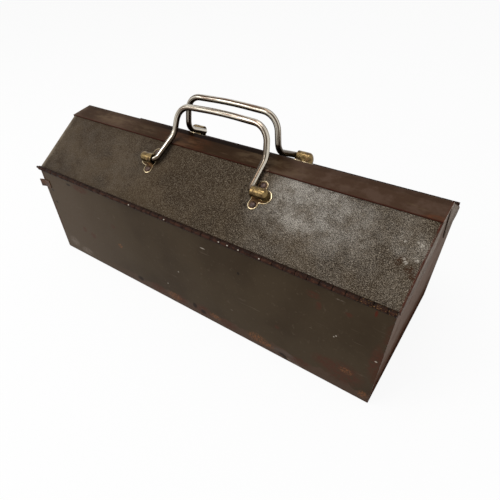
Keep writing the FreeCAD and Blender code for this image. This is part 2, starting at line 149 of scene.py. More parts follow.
def sums(tree, operation, first, second=0.0):
    node = tree.nodes.new("ShaderNodeMath")
    node.operation = operation
    feed(tree, first, node.inputs[0])
    feed(tree, second, node.inputs[1])
    return node.outputs[0]


def both(tree, first, second):
    return sums(tree, "MULTIPLY", first, second)


def mixed(tree, amount, first, second):
    node = tree.nodes.new("ShaderNodeMix")
    node.data_type = "RGBA"
    feed(tree, amount, node.inputs[0])
    feed(tree, first, node.inputs[6])
    feed(tree, second, node.inputs[7])
    return node.outputs[2]


def tinted(tree, colour, amount, tint):
    # a tint laid over the colour so far
    return mixed(tree, amount, colour, paint(*tint))


def split(tree, place):
    node = tree.nodes.new("ShaderNodeSeparateXYZ")
    tree.links.new(place, node.inputs[0])
    return node.outputs


def upwardFacing(tree):
    # from -1 where a face looks down to 1 where it looks up
    return split(tree, tree.nodes.new("ShaderNodeTexCoord").outputs["Normal"])[2]


def markOf(tree, name, output):
    # a value that the mesh of a piece carries at its points
    node = tree.nodes.new("ShaderNodeAttribute")
    node.attribute_name = name
    return node.outputs[output]


def around(tree, place, centre, reach, stretch=(1, 1, 1)):
    # 1 at a spot, fading to 0 at its reach in metres
    shift = tree.nodes.new("ShaderNodeVectorMath")
    shift.operation = "SUBTRACT"
    tree.links.new(place, shift.inputs[0])
    shift.inputs[1].default_value = centre
    scaled = tree.nodes.new("ShaderNodeVectorMath")
    scaled.operation = "MULTIPLY"
    tree.links.new(shift.outputs[0], scaled.inputs[0])
    scaled.inputs[1].default_value = stretch
    length = tree.nodes.new("ShaderNodeVectorMath")
    length.operation = "LENGTH"
    tree.links.new(scaled.outputs[0], length.inputs[0])
    return ranged(tree, length.outputs["Value"], reach * 0.4, reach, 1.0, 0.0)


def markedBy(tree, place, colour, marks, tint, stretch=(1, 1, 1), torn=1.0):
    # soft patches of a tint, each with its centre, reach and strength
    for centre, reach, strength in marks:
        mark = both(tree, around(tree, place, centre, reach, stretch), torn)
        colour = tinted(tree, colour, both(tree, mark, strength), tint)
    return colour


def roughen(tree, shader, height, strength, distance):
    bump = tree.nodes.new("ShaderNodeBump")
    bump.inputs["Strength"].default_value = strength
    bump.inputs["Distance"].default_value = distance
    tree.links.new(height, bump.inputs["Height"])
    tree.links.new(bump.outputs[0], shader.inputs["Normal"])


# Smooth enamel on the body, scuffed and rusty along its lower edges, with a painted sheen that pales it
# towards the left end
bodyEnamel = {"base": (64, 52, 37), "deep": (55, 43, 29), "pale": (80, 66, 51), "grain": (38, 30, 24),
              "scratch": (112, 99, 86), "skirting": (76, 58, 46), "rust": (70, 42, 31),
              "roughness": (0.38, 0.58), "specular": 0.05, "sheenAlong": (-0.05, -0.22),
              "skirtingHeight": 0.016, "skirtingSpread": 0.034, "skirtingAlong": (-0.20, -0.06),
              "edgeRust": 0.006, "endRust": (0.007, 0.0005), "dent": (0.1500, -0.1, 0.004),
              "dentReach": 0.014}

# Wear of the front wall, with painted shade and painted highlights at a dent near the bottom: for each kind a
# tint, and for each mark its X, Z, reach and how wide it is
wallMarks = {
    "red": ((72, 43, 30), [
        (0.221, 0.030, 0.022, 1.4), (0.200, 0.034, 0.012, 1.6), (0.249, 0.070, 0.034, 0.25),
        (0.177, 0.123, 0.006, 1.6), (0.184, 0.112, 0.008, 0.5), (0.214, 0.117, 0.004, 1.4),
        (-0.170, 0.132, 0.008, 2.6), (-0.118, 0.091, 0.005, 1.0), (-0.191, 0.058, 0.007, 0.8),
        (-0.173, 0.054, 0.007, 1.0), (0.140, 0.052, 0.004, 1.0), (0.172, 0.012, 0.008, 2.2),
        (-0.010, 0.013, 0.010, 1.6), (0.030, 0.014, 0.012, 1.6), (-0.050, 0.012, 0.010, 2.0),
        (0.070, 0.012, 0.009, 2.0)]),
    "orange": ((112, 73, 46), [
        (0.114, 0.015, 0.010, 1.8), (0.246, 0.012, 0.008, 0.9), (0.224, 0.036, 0.006, 1.6),
        (-0.113, 0.060, 0.005, 1.2), (0.128, 0.012, 0.006, 2.0), (-0.020, 0.013, 0.008, 2.0),
        (0.050, 0.014, 0.006, 2.0)]),
    # the first three dark marks are painted shade in the dent near the bottom
    "dark": ((24, 16, 11), [
        (0.1482, 0.0085, 0.0030, 1.8), (0.1520, 0.0068, 0.0028, 1.2), (0.1540, 0.0032, 0.0030, 0.9),
        (-0.2414, 0.1091, 0.0022, 1.4), (-0.2420, 0.0890, 0.0028, 1.2), (-0.1950, 0.1312, 0.0022, 3.0),
        (0.0885, 0.1070, 0.0028, 0.8), (0.0160, 0.0150, 0.0060, 0.8), (0.0300, 0.0110, 0.0050, 1.2),
        (-0.0850, 0.0130, 0.0050, 1.6)]),
    # the second and third scuff marks are painted highlights along the dent's lower lip
    "scuff": ((112, 99, 88), [
        (-0.204, 0.012, 0.009, 2.0), (0.1580, 0.0058, 0.0030, 1.0), (0.1680, 0.0028, 0.0034, 2.6),
        (-0.232, 0.020, 0.012, 1.2)]),
    "bare": ((180, 170, 156), [
        (0.2492, 0.0716, 0.0013, 1.4), (0.0400, 0.1210, 0.0009, 5.0), (0.2066, 0.0815, 0.0013, 0.9),
        (0.2045, 0.0790, 0.0011, 0.9), (-0.0050, 0.0640, 0.0010, 1.4), (-0.0290, 0.0320, 0.0011, 1.2)]),
    "scratch": ((112, 99, 86), [
        (0.2030, 0.1305, 0.0009, 8.0), (-0.1456, 0.0938, 0.0009, 7.0), (0.1790, 0.0760, 0.0009, 3.0),
        (0.0769, 0.0423, 0.0009, 3.0)]),
    "primer": ((84, 32, 20), [
        (0.2372, 0.1325, 0.0056, 0.33)])}


def markWall(tree, place, colour):
    # red wear and the pale scuffs, two of which are painted highlights at the dent, have ragged edges; orange
    # rust and scratches are torn to specks, the rest is clear cut
    ragged = ranged(tree, noise(tree, place, 240, 5, 0.65), 0.38, 0.56, 0.15, 0.85)
    torn = ranged(tree, noise(tree, place, 420, 4, 0.7), 0.44, 0.58)
    edges = {"red": ragged, "scuff": both(tree, ragged, 0.7), "orange": torn,
             "scratch": both(tree, torn, 0.8)}
    for kind, (tint, marks) in wallMarks.items():
        for x, z, reach, wide in marks:
            mark = around(tree, place, (x, boxLow.y, z), reach, (1 / wide, 1, 1))
            colour = tinted(tree, colour, both(tree, mark, edges.get(kind, 0.8)), tint)
    return colour


def makeBodyEnamel():
    values = bodyEnamel
    material, tree, shader, place = newMaterial("bodyEnamel", specular=values["specular"])
    coordinates = split(tree, place)
    x, z = coordinates[0], coordinates[2]
    cloud = noise(tree, place, 14, 5)
    mottle = noise(tree, place, 160, 4, 0.6)
    scatter = noise(tree, place, 75, 6, 0.65)
    fine = noise(tree, place, 900, 2)
    colour = mixed(tree, ranged(tree, cloud, 0.35, 0.65), paint(*values["deep"]), paint(*values["base"]))
    # painted sheen: the wall paler towards its left end
    colour = tinted(tree, colour, ranged(tree, x, *values["sheenAlong"], 0, 0.8), values["pale"])
    colour = tinted(tree, colour, ranged(tree, mottle, 0.56, 0.75, 0, 0.2), values["scratch"])
    colour = tinted(tree, colour, ranged(tree, fine, 0.62, 0.8, 0, 0.25), values["grain"])
    streaks = noise(tree, place, 60, 3, 0.6, (0.25, 1, 3.0))
    colour = tinted(tree, colour, ranged(tree, streaks, 0.66, 0.72, 0, 0.22), values["scratch"])
    # the skirting is scuffed, and its lowest millimetres and the ends are rusty
    uneven = both(tree, sums(tree, "SUBTRACT", scatter, 0.5), values["skirtingSpread"])
    top = values["skirtingHeight"]
    low = ranged(tree, sums(tree, "ADD", z, uneven), top - 0.003, top + 0.002, 0.85, 0)
    scuffed = both(tree, low, ranged(tree, x, *values["skirtingAlong"]))
    colour = tinted(tree, colour, scuffed, values["skirting"])
    edge = ranged(tree, z, 0.0, values["edgeRust"], 1, 0)
    begin, full = values["endRust"]
    ends = ranged(tree, sums(tree, "ABSOLUTE", x), boxHigh.x - begin, boxHigh.x - full, 0, 0.8)
    rust = both(tree, sums(tree, "MAXIMUM", edge, ends), ranged(tree, scatter, 0.44, 0.58, 0, 0.8))
    colour = tinted(tree, colour, rust, values["rust"])
    colour = markWall(tree, place, colour)
    tree.links.new(colour, shader.inputs["Base Color"])
    dull = ranged(tree, sums(tree, "ADD", mottle, rust), 0.3, 1.1, *values["roughness"])
    tree.links.new(dull, shader.inputs["Roughness"])
    dent = around(tree, place, values["dent"], values["dentReach"], (0.6, 1, 1))
    relief = sums(tree, "SUBTRACT", noise(tree, place, 9, 2), dent)
    relief = sums(tree, "ADD", relief, both(tree, mottle, 0.03))
    roughen(tree, shader, relief, 0.5, 0.003)
    return material


# Wrinkle enamel on the lids, with sheens painted on as highlights; each sheen and shade has a centre, a reach
# and a strength
lidEnamel = {
    "base": (69, 56, 41), "dark": (50, 38, 26), "valley": (14, 9, 5), "speck": (146, 134, 116),
    "sheen": (200, 194, 184), "endWear": (84, 44, 34), "skirt": (124, 110, 98),
    "skirtTop": (150, 137, 125), "skirtHeights": (0.145, 0.165), "wrinkle": 1500, "fleck": 600,
    "specular": 0.03, "roughness": (0.42, 0.66), "flatAlong": (-0.22, 0.10),
    "endFade": (0.0026, 0.0014), "leftFade": (0.009, 0.002), "endWearDepth": 0.85, "leftWearDepth": 0.5,
    "sheens": [
        ((0.136, -0.038, 0.178), 0.052, 0.72), ((0.172, -0.049, 0.171), 0.050, 0.40),
        ((0.240, -0.046, 0.174), 0.022, 0.36), ((0.112, -0.056, 0.168), 0.040, 0.30),
        ((0.150, -0.085, 0.151), 0.075, 0.12), ((0.205, -0.030, 0.180), 0.045, 0.18),
        ((0.220, -0.080, 0.154), 0.060, 0.12), ((-0.140, -0.060, 0.166), 0.070, 0.06),
        ((-0.215, -0.065, 0.163), 0.080, 0.07)],
    "shades": [
        ((0.000, -0.045, 0.174), 0.060, 0.6), ((-0.075, -0.030, 0.184), 0.032, 0.6),
        ((-0.190, -0.032, 0.182), 0.045, 0.6), ((0.100, -0.085, 0.150), 0.030, 0.35),
        ((0.225, -0.065, 0.163), 0.022, 0.4), ((0.030, -0.030, 0.184), 0.030, 0.5)]}

# Small marks on the lids, a pale arc beside the front bail's right leg and wear: for each kind a tint, and
# for each mark its X, Y, Z and reach
lidMarks = {
    "paleArc": ((128, 110, 92), [
        (0.0650, -0.0125, 0.1914, 0.0024), (0.0700, -0.0158, 0.1910, 0.0026),
        (0.0740, -0.0205, 0.1900, 0.0026), (0.0758, -0.0250, 0.1875, 0.0028),
        (0.0758, -0.0290, 0.1850, 0.0026), (0.0742, -0.0325, 0.1829, 0.0022)]),
    "scrape": ((58, 38, 25), [
        (0.2380, -0.0595, 0.1662, 0.0052), (0.2355, -0.0624, 0.1645, 0.0040),
        (0.2465, -0.0655, 0.1625, 0.0060), (0.2510, -0.0700, 0.1600, 0.0045)]),
    "scuff": ((176, 168, 156), [
        (0.2335, -0.0450, 0.1752, 0.0016), (0.2412, -0.0608, 0.1654, 0.0026),
        (0.2390, -0.0584, 0.1669, 0.0018), (0.2478, -0.0440, 0.1758, 0.0026),
        (0.2440, -0.0425, 0.1768, 0.0018), (0.2492, -0.0570, 0.1678, 0.0024)]),
    "nick": ((24, 16, 11), [
        (0.0697, -0.0593, 0.1663, 0.0034), (0.0655, -0.0570, 0.1678, 0.0022),
        (0.0598, -0.0410, 0.1777, 0.0016), (0.0590, -0.0460, 0.1746, 0.0017),
        (0.0600, -0.0490, 0.1727, 0.0016), (0.0610, -0.0520, 0.1709, 0.0018)])}

# The smooth browner strip along the ridge, which is part of the rear lid's sheet
ridgeStrip = {
    "base": (79, 61, 50), "dark": (67, 49, 37), "shade": (43, 27, 12), "pale": (96, 79, 60),
    "rust": (92, 54, 34), "nearEdge": (58, 26, 18), "farEdge": (17, 7, 3), "specular": 0.015,
    "nearFade": (0.0003, 0.0018), "farFade": (0.0078, 0.0056), "ridgeFade": (0.0008, 0.0016),
    "farAlong": (0.09, 0.04), "farFaintAlong": (-0.130, -0.080), "endWearDepth": 0.3,
    "leftWearDepth": 0.15,
    "blotches": [
        ((-0.185, -0.002, 0.193), 0.038, 0.6), ((-0.055, -0.014, 0.191), 0.022, 0.4),
        ((0.052, -0.006, 0.192), 0.026, 0.5), ((-0.120, -0.012, 0.191), 0.022, 0.3),
        ((0.090, -0.012, 0.191), 0.030, 0.35)],
    "shades": [
        ((0.020, -0.010, 0.192), 0.060, 0.85), ((-0.080, -0.004, 0.193), 0.070, 0.8),
        ((-0.225, -0.006, 0.193), 0.028, 0.6), ((0.078, -0.004, 0.192), 0.020, 0.7)],
    "redness": [
        ((-0.052, -0.010, 0.192), 0.036, 0.35), ((0.2490, -0.0205, 0.190), 0.010, 0.7),
        ((0.2410, -0.0215, 0.190), 0.006, 0.6)]}


def wrinkleLid(tree, place, x, wrinkle, fleck):
    # the wrinkles have dark valleys and pale crests, whose specks are painted glints, with less contrast
    # towards the left
    values = lidEnamel
    cloud = noise(tree, place, 24, 5, 0.6)
    colour = mixed(tree, ranged(tree, cloud, 0.34, 0.62), paint(*values["dark"]), paint(*values["base"]))
    colour = markedBy(tree, place, colour, values["shades"], values["dark"])
    depth = ranged(tree, x, *values["flatAlong"], 0.28, 1.0)
    valley = ranged(tree, wrinkle, 0.38, 0.49, 0.85, 0.0)
    colour = tinted(tree, colour, both(tree, valley, depth), values["valley"])
    # painted glints: pale specks on the wrinkle crests
    crest = both(tree, ranged(tree, wrinkle, 0.51, 0.60), ranged(tree, fleck, 0.38, 0.6, 0.25, 0.85))
    return tinted(tree, colour, both(tree, crest, depth), values["speck"])


def paintLidSheen(tree, place, torn):
    # how strongly the lid is painted with sheen, a painted highlight
    worn = 0.0
    for centre, reach, strength in lidEnamel["sheens"]:
        patch = both(tree, around(tree, place, centre, reach, (0.8, 1.0, 1.0)), strength)
        worn = sums(tree, "MAXIMUM", worn, patch)
    return both(tree, worn, torn)


def paintStrip(tree, place, x, y, blotch):
    strip = ridgeStrip
    colour = mixed(tree, ranged(tree, blotch, 0.40, 0.62), paint(*strip["dark"]), paint(*strip["base"]))
    colour = markedBy(tree, place, colour, strip["shades"], strip["shade"], (0.7, 1.2, 1))
    spread = ranged(tree, noise(tree, place, 110, 5, 0.65, (0.5, 1.2, 1.0)), 0.42, 0.62, 0.2, 1.0)
    colour = markedBy(tree, place, colour, strip["blotches"], strip["pale"], (0.7, 1.5, 1), spread)
    colour = markedBy(tree, place, colour, strip["redness"], strip["rust"], (0.7, 1.5, 1), spread)
    streak = noise(tree, place, 150, 4, 0.6, (0.3, 1.6, 1.0))
    colour = tinted(tree, colour, ranged(tree, streak, 0.58, 0.72, 0, 0.25), strip["pale"])
    begin, end = strip["nearFade"]
    near = ranged(tree, y, stripLow.y + begin, stripLow.y + end, 1.0, 0.0)
    colour = tinted(tree, colour, both(tree, near, 0.8), strip["nearEdge"])
    # the far edge is darkest over the middle of the box
    begin, end = strip["farFade"]
    far = ranged(tree, y, ridgeY - begin, ridgeY - end)
    far = both(tree, far, ranged(tree, x, *strip["farAlong"], 0.2, 1.0))
    far = both(tree, far, ranged(tree, x, *strip["farFaintAlong"], 0.35, 1.0))
    return tinted(tree, colour, both(tree, far, 0.92), strip["farEdge"])


def wearLidEnds(tree, place, colour, x, z, torn, sheet):
    # red wear along both ends, pale wear along the left one, and a painted reflection that makes the skirts
    # folded down below them paler, more so towards the top
    values = lidEnamel
    lidEnd = stripHigh.x
    chipped = ranged(tree, noise(tree, place, 130, 5, 0.7), 0.36, 0.6, 0.4, 1.0)
    fromMiddle = sums(tree, "ABSOLUTE", x)
    begin, full = values["endFade"]
    ends = ranged(tree, fromMiddle, lidEnd - begin, lidEnd - full, 0.0, sheet["endWearDepth"])
    colour = tinted(tree, colour, both(tree, ends, chipped), values["endWear"])
    begin, full = values["leftFade"]
    leftEdge = ranged(tree, x, begin - lidEnd, full - lidEnd, 0.0, sheet["leftWearDepth"])
    colour = tinted(tree, colour, both(tree, leftEdge, torn), values["speck"])
    # painted reflection: the skirts pale and mottled, paler higher up
    skirt = ranged(tree, fromMiddle, lidEnd - 0.0004, lidEnd - 0.0001)
    reflectionMottle = ranged(tree, noise(tree, place, 40, 4, 0.6), 0.3, 0.7, 0.6, 1.0)
    height = ranged(tree, z, *values["skirtHeights"])
    bare = mixed(tree, height, paint(*values["skirt"]), paint(*values["skirtTop"]))
    return mixed(tree, both(tree, skirt, reflectionMottle), colour, bare)


def makeLidEnamel(name, withStrip):
    values = lidEnamel
    sheet = ridgeStrip if withStrip else lidEnamel
    material, tree, shader, place = newMaterial(name, specular=sheet["specular"])
    x, y, z = split(tree, place)
    wrinkle = noise(tree, place, values["wrinkle"], 2, 0.6)
    fleck = noise(tree, place, values["fleck"], 3, 0.6)
    torn = ranged(tree, noise(tree, place, 60, 5, 0.65), 0.34, 0.62, 0.35, 1.0)
    colour = wrinkleLid(tree, place, x, wrinkle, fleck)
    # painted highlight: sheen patches that pale the wrinkle crests
    worn = paintLidSheen(tree, place, torn)
    bright = both(tree, worn, ranged(tree, wrinkle, 0.42, 0.6, 0.2, 1.0))
    colour = tinted(tree, colour, bright, values["sheen"])
    relief = wrinkle
    dull = sums(tree, "SUBTRACT", fleck, both(tree, worn, 0.3))
    gloss = ranged(tree, dull, 0.1, 0.7, *values["roughness"])
    if withStrip:
        begin, end = ridgeStrip["ridgeFade"]
        onStrip = ranged(tree, y, ridgeY + begin, ridgeY + end, 1.0, 0.0)
        blotch = noise(tree, place, 60, 5, 0.6)
        colour = mixed(tree, onStrip, colour, paintStrip(tree, place, x, y, blotch))
        relief = mixed(tree, onStrip, wrinkle, both(tree, blotch, 0.4))
        gloss = mixed(tree, onStrip, gloss, ranged(tree, blotch, 0.3, 0.7, 0.38, 0.52))
    frayed = ranged(tree, noise(tree, place, 700, 3, 0.7), 0.44, 0.54, 0.05, 1.0)
    for tint, marks in lidMarks.values():
        for markX, markY, markZ, reach in marks:
            mark = both(tree, around(tree, place, (markX, markY, markZ), reach), frayed)
            colour = tinted(tree, colour, both(tree, mark, 0.9), tint)
    colour = wearLidEnds(tree, place, colour, x, z, torn, sheet)
    tree.links.new(colour, shader.inputs["Base Color"])
    tree.links.new(gloss, shader.inputs["Roughness"])
    roughen(tree, shader, relief, 0.6, 0.0010)
    return material


# Gable ends: dull paint under a painted reflection, pale above, dark and red towards the ground; a level is a
# height and its tint
endEnamel = {"levels": [(0.000, (58, 32, 20)), (0.020, (68, 40, 27)), (0.040, (100, 78, 66)),
                        (0.064, (124, 107, 97)), (0.115, (134, 117, 107))],
             "scratch": (150, 134, 122), "rust": (84, 54, 40), "unevenness": 0.06}


def makeEndEnamel():
    values = endEnamel
    material, tree, shader, place = newMaterial("endEnamel", roughness=0.6, specular=0.0)
    cloud = noise(tree, place, 22, 5, 0.6)
    uneven = both(tree, sums(tree, "SUBTRACT", cloud, 0.5), values["unevenness"])
    height = sums(tree, "ADD", split(tree, place)[2], uneven)
    # painted reflection: the levels pale the end higher up; the dark, red foot is painted shade with some
    # rust
    low, tint = values["levels"][0]
    colour = paint(*tint)
    for high, tint in values["levels"][1:]:
        colour = tinted(tree, colour, ranged(tree, height, low, high), tint)
        low = high
    mottle = noise(tree, place, 170, 4, 0.6)
    colour = tinted(tree, colour, ranged(tree, mottle, 0.5, 0.72, 0, 0.25), values["scratch"])
    rust = noise(tree, place, 48, 6, 0.7)
    colour = tinted(tree, colour, ranged(tree, rust, 0.54, 0.68, 0, 0.5), values["rust"])
    tree.links.new(colour, shader.inputs["Base Color"])
    roughen(tree, shader, cloud, 0.4, 0.003)
    return material


# Bare and plated metals
hingeSteel = {"base": (60, 37, 27), "dark": (36, 21, 15), "rust": (98, 66, 48), "glint": (206, 198, 184),
              "glints": [-0.069, -0.0111, 0.0668, 0.0779, 0.0919, 0.1171], "glintPlace": (-0.1035, 0.1432),
              "glintReach": 0.0009, "gold": (150, 116, 74), "goldAlong": (0.215, 0.225),
              "wornAlong": (0.0, 0.20), "seam": (14, 8, 5), "seamsAlong": (0.08, 0.20),
              "pitch": 0.0127, "firstSeam": boxHigh.x - 0.008}  # the seams follow the knuckles below


def makeHingeSteel():
    values = hingeSteel
    material, tree, shader, place = newMaterial("hingeSteel", roughness=0.6, specular=0.06)
    x = split(tree, place)[0]
    patches = noise(tree, place, 210, 4, 0.6)
    grain = noise(tree, place, 700, 3)
    colour = mixed(tree, ranged(tree, patches, 0.38, 0.62), paint(*values["dark"]), paint(*values["base"]))
    worn = both(tree, ranged(tree, grain, 0.56, 0.70), ranged(tree, x, *values["wornAlong"], 0.15, 0.7))
    colour = tinted(tree, colour, worn, values["rust"])
    gold = both(tree, ranged(tree, x, *values["goldAlong"]), ranged(tree, grain, 0.56, 0.66, 0, 0.55))
    colour = tinted(tree, colour, gold, values["gold"])
    # painted shade on the barrel where it faces up and where it faces down
    upward = upwardFacing(tree)
    barrelShade = sums(tree, "MAXIMUM", ranged(tree, upward, 0.70, 0.92), ranged(tree, upward, 0.10, -0.15))
    colour = tinted(tree, colour, both(tree, barrelShade, 0.55), values["seam"])
    # dark seams between the knuckles, which wear shows at the right end
    fromSeam = sums(tree, "SUBTRACT", values["firstSeam"], x)
    turn = sums(tree, "FRACT", sums(tree, "DIVIDE", fromSeam, values["pitch"]))
    seam = ranged(tree, sums(tree, "ABSOLUTE", sums(tree, "SUBTRACT", turn, 0.5)), 0.44, 0.48)
    seam = both(tree, seam, ranged(tree, x, *values["seamsAlong"], 0.2, 0.8))
    colour = tinted(tree, colour, seam, values["seam"])
    # painted glints: small white dots in a row along the barrel's upper front
    for glint in values["glints"]:
        mark = around(tree, place, (glint, *values["glintPlace"]), values["glintReach"], (0.7, 1, 1))
        colour = tinted(tree, colour, both(tree, mark, 0.85), values["glint"])
    tree.links.new(colour, shader.inputs["Base Color"])
    tree.links.new(ranged(tree, grain, 0.3, 0.7, 0.42, 0.7), shader.inputs["Roughness"])
    roughen(tree, shader, grain, 0.35, 0.0004)
    return material


platedWire = {"bright": (206, 199, 184), "worn": (86, 76, 64), "under": (62, 51, 40),
              "brown": (90, 58, 40), "dark": (38, 28, 21), "gripRust": (0.012, 0.004)}


def makePlatedWire():
    # the mark "wire" is the place round and along the wire, so that its streaks follow the bends
    values = platedWire
    material, tree, shader, place = newMaterial("platedWire", roughness=0.2, metallic=1.0)
    along = markOf(tree, "wire", "Vector")
    upward = upwardFacing(tree)
    # painted highlights: bright bands along the wire at set places round it, with darker bands between
    highlightBands = noise(tree, along, 2.0, 2, 0.5, (1.0, 1.0, 0.3))
    streaks = noise(tree, along, 3.2, 4, 0.65)
    pits = noise(tree, place, 800, 3, 0.6)
    begin, full = values["gripRust"]
    grips = ranged(tree, split(tree, place)[2], gripZ - begin, gripZ - full)
    colour = mixed(tree, ranged(tree, highlightBands, 0.47, 0.54), paint(*values["worn"]), paint(*values["bright"]))
    # painted shade on the wire's undersides
    colour = tinted(tree, colour, ranged(tree, upward, -0.25, 0.25, 0.9, 0.0), values["under"])
    colour = tinted(tree, colour, ranged(tree, streaks, 0.54, 0.62, 0, 0.5), values["worn"])
    rusty = both(tree, ranged(tree, streaks, 0.50, 0.58), sums(tree, "ADD", both(tree, grips, 0.55), 0.3))
    colour = tinted(tree, colour, rusty, values["brown"])
    colour = tinted(tree, colour, ranged(tree, pits, 0.6, 0.74, 0, 0.7), values["dark"])
    tree.links.new(colour, shader.inputs["Base Color"])
    dull = ranged(tree, sums(tree, "ADD", streaks, pits), 0.85, 1.35, 0.12, 0.36)
    tree.links.new(dull, shader.inputs["Roughness"])
    roughen(tree, shader, sums(tree, "ADD", pits, both(tree, highlightBands, 2.0)), 0.15, 0.0003)
    return material


stampedBrass = {"bright": (128, 107, 69), "tarnish": (78, 61, 38), "recess": (84, 64, 44),
                "dark": (42, 32, 24), "rust": (92, 60, 40), "rim": (194, 176, 142)}


def makeStampedBrass():
    # the mark "rim" is 1 on the plate's polished rim, 0 in its recess and a half on the dome
    values = stampedBrass
    material, tree, shader, place = newMaterial("stampedBrass", roughness=0.3, metallic=0.9)
    rim = markOf(tree, "rim", "Fac")
    patches = noise(tree, place, 160, 4, 0.6)
    pits = noise(tree, place, 900, 3)
    rust = noise(tree, place, 120, 3)
    tarnish = ranged(tree, patches, 0.44, 0.62)
    colour = mixed(tree, tarnish, paint(*values["bright"]), paint(*values["tarnish"]))
    colour = tinted(tree, colour, ranged(tree, rust, 0.6, 0.7, 0, 0.5), values["rust"])
    colour = tinted(tree, colour, ranged(tree, rim, 0.1, 0.35, 1.0, 0.0), values["recess"])
    colour = tinted(tree, colour, ranged(tree, rim, 0.6, 0.85), values["rim"])
    colour = tinted(tree, colour, ranged(tree, pits, 0.58, 0.72, 0, 0.6), values["dark"])
    tree.links.new(colour, shader.inputs["Base Color"])
    tree.links.new(ranged(tree, patches, 0.35, 0.7, 0.14, 0.34), shader.inputs["Roughness"])
    roughen(tree, shader, pits, 0.1, 0.0003)
    return material


def makePlainSteel(name, base, dark, roughness, metallic, scale):
    material, tree, shader, place = newMaterial(name, roughness, metallic)
    patches = noise(tree, place, scale, 5, 0.6)
    grain = noise(tree, place, scale * 8, 3)
    colour = mixed(tree, ranged(tree, patches, 0.35, 0.65), paint(*dark), paint(*base))
    colour = tinted(tree, colour, ranged(tree, grain, 0.58, 0.75, 0, 0.4), dark)
    tree.links.new(colour, shader.inputs["Base Color"])
    dull = ranged(tree, patches, 0.3, 0.7, roughness - 0.08, roughness + 0.1)
    tree.links.new(dull, shader.inputs["Roughness"])
    roughen(tree, shader, grain, 0.15, 0.0003)
    return material


enamel = makeBodyEnamel()
gable = makeEndEnamel()
frontEnamel = makeLidEnamel("frontLidEnamel", False)
rearEnamel = makeLidEnamel("rearLidEnamel", True)
hingeMetal = makeHingeSteel()
wireMetal = makePlatedWire()
brass = makeStampedBrass()
trayEnamel = makePlainSteel("trayEnamel", (86, 76, 66), (58, 49, 41), 0.45, 0.0, 22)
linkMetal = makePlainSteel("linkSteel", (150, 145, 137), (96, 88, 80), 0.38, 0.9, 60)
rivetMetal = makePlainSteel("rivetSteel", (86, 64, 54), (46, 33, 28), 0.4, 0.6, 300)
lugMetal = makePlainSteel("lugSteel", (92, 62, 42), (50, 33, 24), 0.6, 0.3, 240)
print("materials made")


# Shapes: lists of points in rows, joined into faces
def skin(rows, closed=True):
    # quads between rows of points; each row runs round if closed
    points = [point for row in rows for point in row]
    width = len(rows[0])
    faces = []
    for row in range(len(rows) - 1):
        for column in range(width if closed else width - 1):
            after = (column + 1) % width
            faces.append((row * width + column, row * width + after,
                          (row + 1) * width + after, (row + 1) * width + column))
    return points, faces


def capped(rows):
    points, faces = skin(rows)
    width = len(rows[0])
    faces.append(tuple(range(width)))
    faces.append(tuple(range(len(points) - width, len(points))))
    return points, faces


def joined(shapes):
    points, faces = [], []
    for morePoints, moreFaces in shapes:
        start = len(points)
        points.extend(morePoints)
        faces.extend(tuple(start + index for index in face) for face in moreFaces)
    return points, faces


def turned(profile, sides, place):
    # a profile of (distance along, radius) turned about an axis; place puts the point where it belongs
    rows = []
    for along, radius in profile:
        row = []
        for side in range(sides):
            turn = 2 * pi * side / sides
            row.append(place(along, radius * cos(turn), radius * sin(turn)))
        rows.append(row)
    return rows


def makePiece(name, shape, material, body, sharp=38, marks=None):
    points, faces = shape
    mesh = bpy.data.meshes.new(name)
    mesh.from_pydata(points, [], faces)
    for mark, values in (marks or {}).items():
        if isinstance(values[0], float):
            mesh.attributes.new(mark, "FLOAT", "POINT").data.foreach_set("value", values)
        else:
            layer = mesh.attributes.new(mark, "FLOAT_VECTOR", "POINT")
            layer.data.foreach_set("vector", [part for value in values for part in value])
    work = bmesh.new()
    work.from_mesh(mesh)
    bmesh.ops.recalc_face_normals(work, faces=work.faces)
    work.to_mesh(mesh)
    work.free()
    mesh.polygons.foreach_set("use_smooth", [True] * len(mesh.polygons))
    mesh.set_sharp_from_angle(angle=radians(sharp))
    mesh.materials.append(material)
    piece = bpy.data.objects.new(name, mesh)
    bpy.context.scene.collection.objects.link(piece)
    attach(piece, body)
    return piece


def slopeOf(node):
    # how steeply a lid lies, from the largest face of its sheet
    largest = max(nodes[node].data.polygons, key=lambda face: face.area)
    return atan2(abs(largest.normal.y), abs(largest.normal.z))


class Side:
    # one half of the box: front at -Y, rear at +Y

    def __init__(self, name):
        self.name = name
        self.sign = -1 if name == "front" else 1
        self.hinge = jointPlace[name + "_lid_hinge"]
        self.pivot = jointPlace[name + "_bail_pivot"]
        self.slope = slopeOf(name + "_lid_panel")
        self.uphill = Vector((0, -self.sign * cos(self.slope), sin(self.slope)))
        self.normal = Vector((0, self.sign * sin(self.slope), cos(self.slope)))

    def onLid(self, x, along, above):
        # X from the middle of the bail, along the slope from its pivot, above the pivot
        return self.pivot + Vector((x, 0, 0)) + self.uphill * along + self.normal * above


front, rear = Side("front"), Side("rear")


# Bails: round wire along the same bends as the real one
bailWire = {"radius": 3.55, "footSpan": 68.5, "elbowSpan": 66.0, "gripSpan": 62.0, "footLength": 17.0,
            "lowerLeg": 40.6, "crown": 2.5, "crownShare": 0.75, "bends": (6.0, 15.0, 20.0), "restGap": 0.3,
            "front": {"upright": 33.2, "angle": 73.1636}, "rear": {"upright": 40.3, "angle": 92.4747},
            "sides": 24, "stepsPerBend": 9, "streakRate": 9.0}


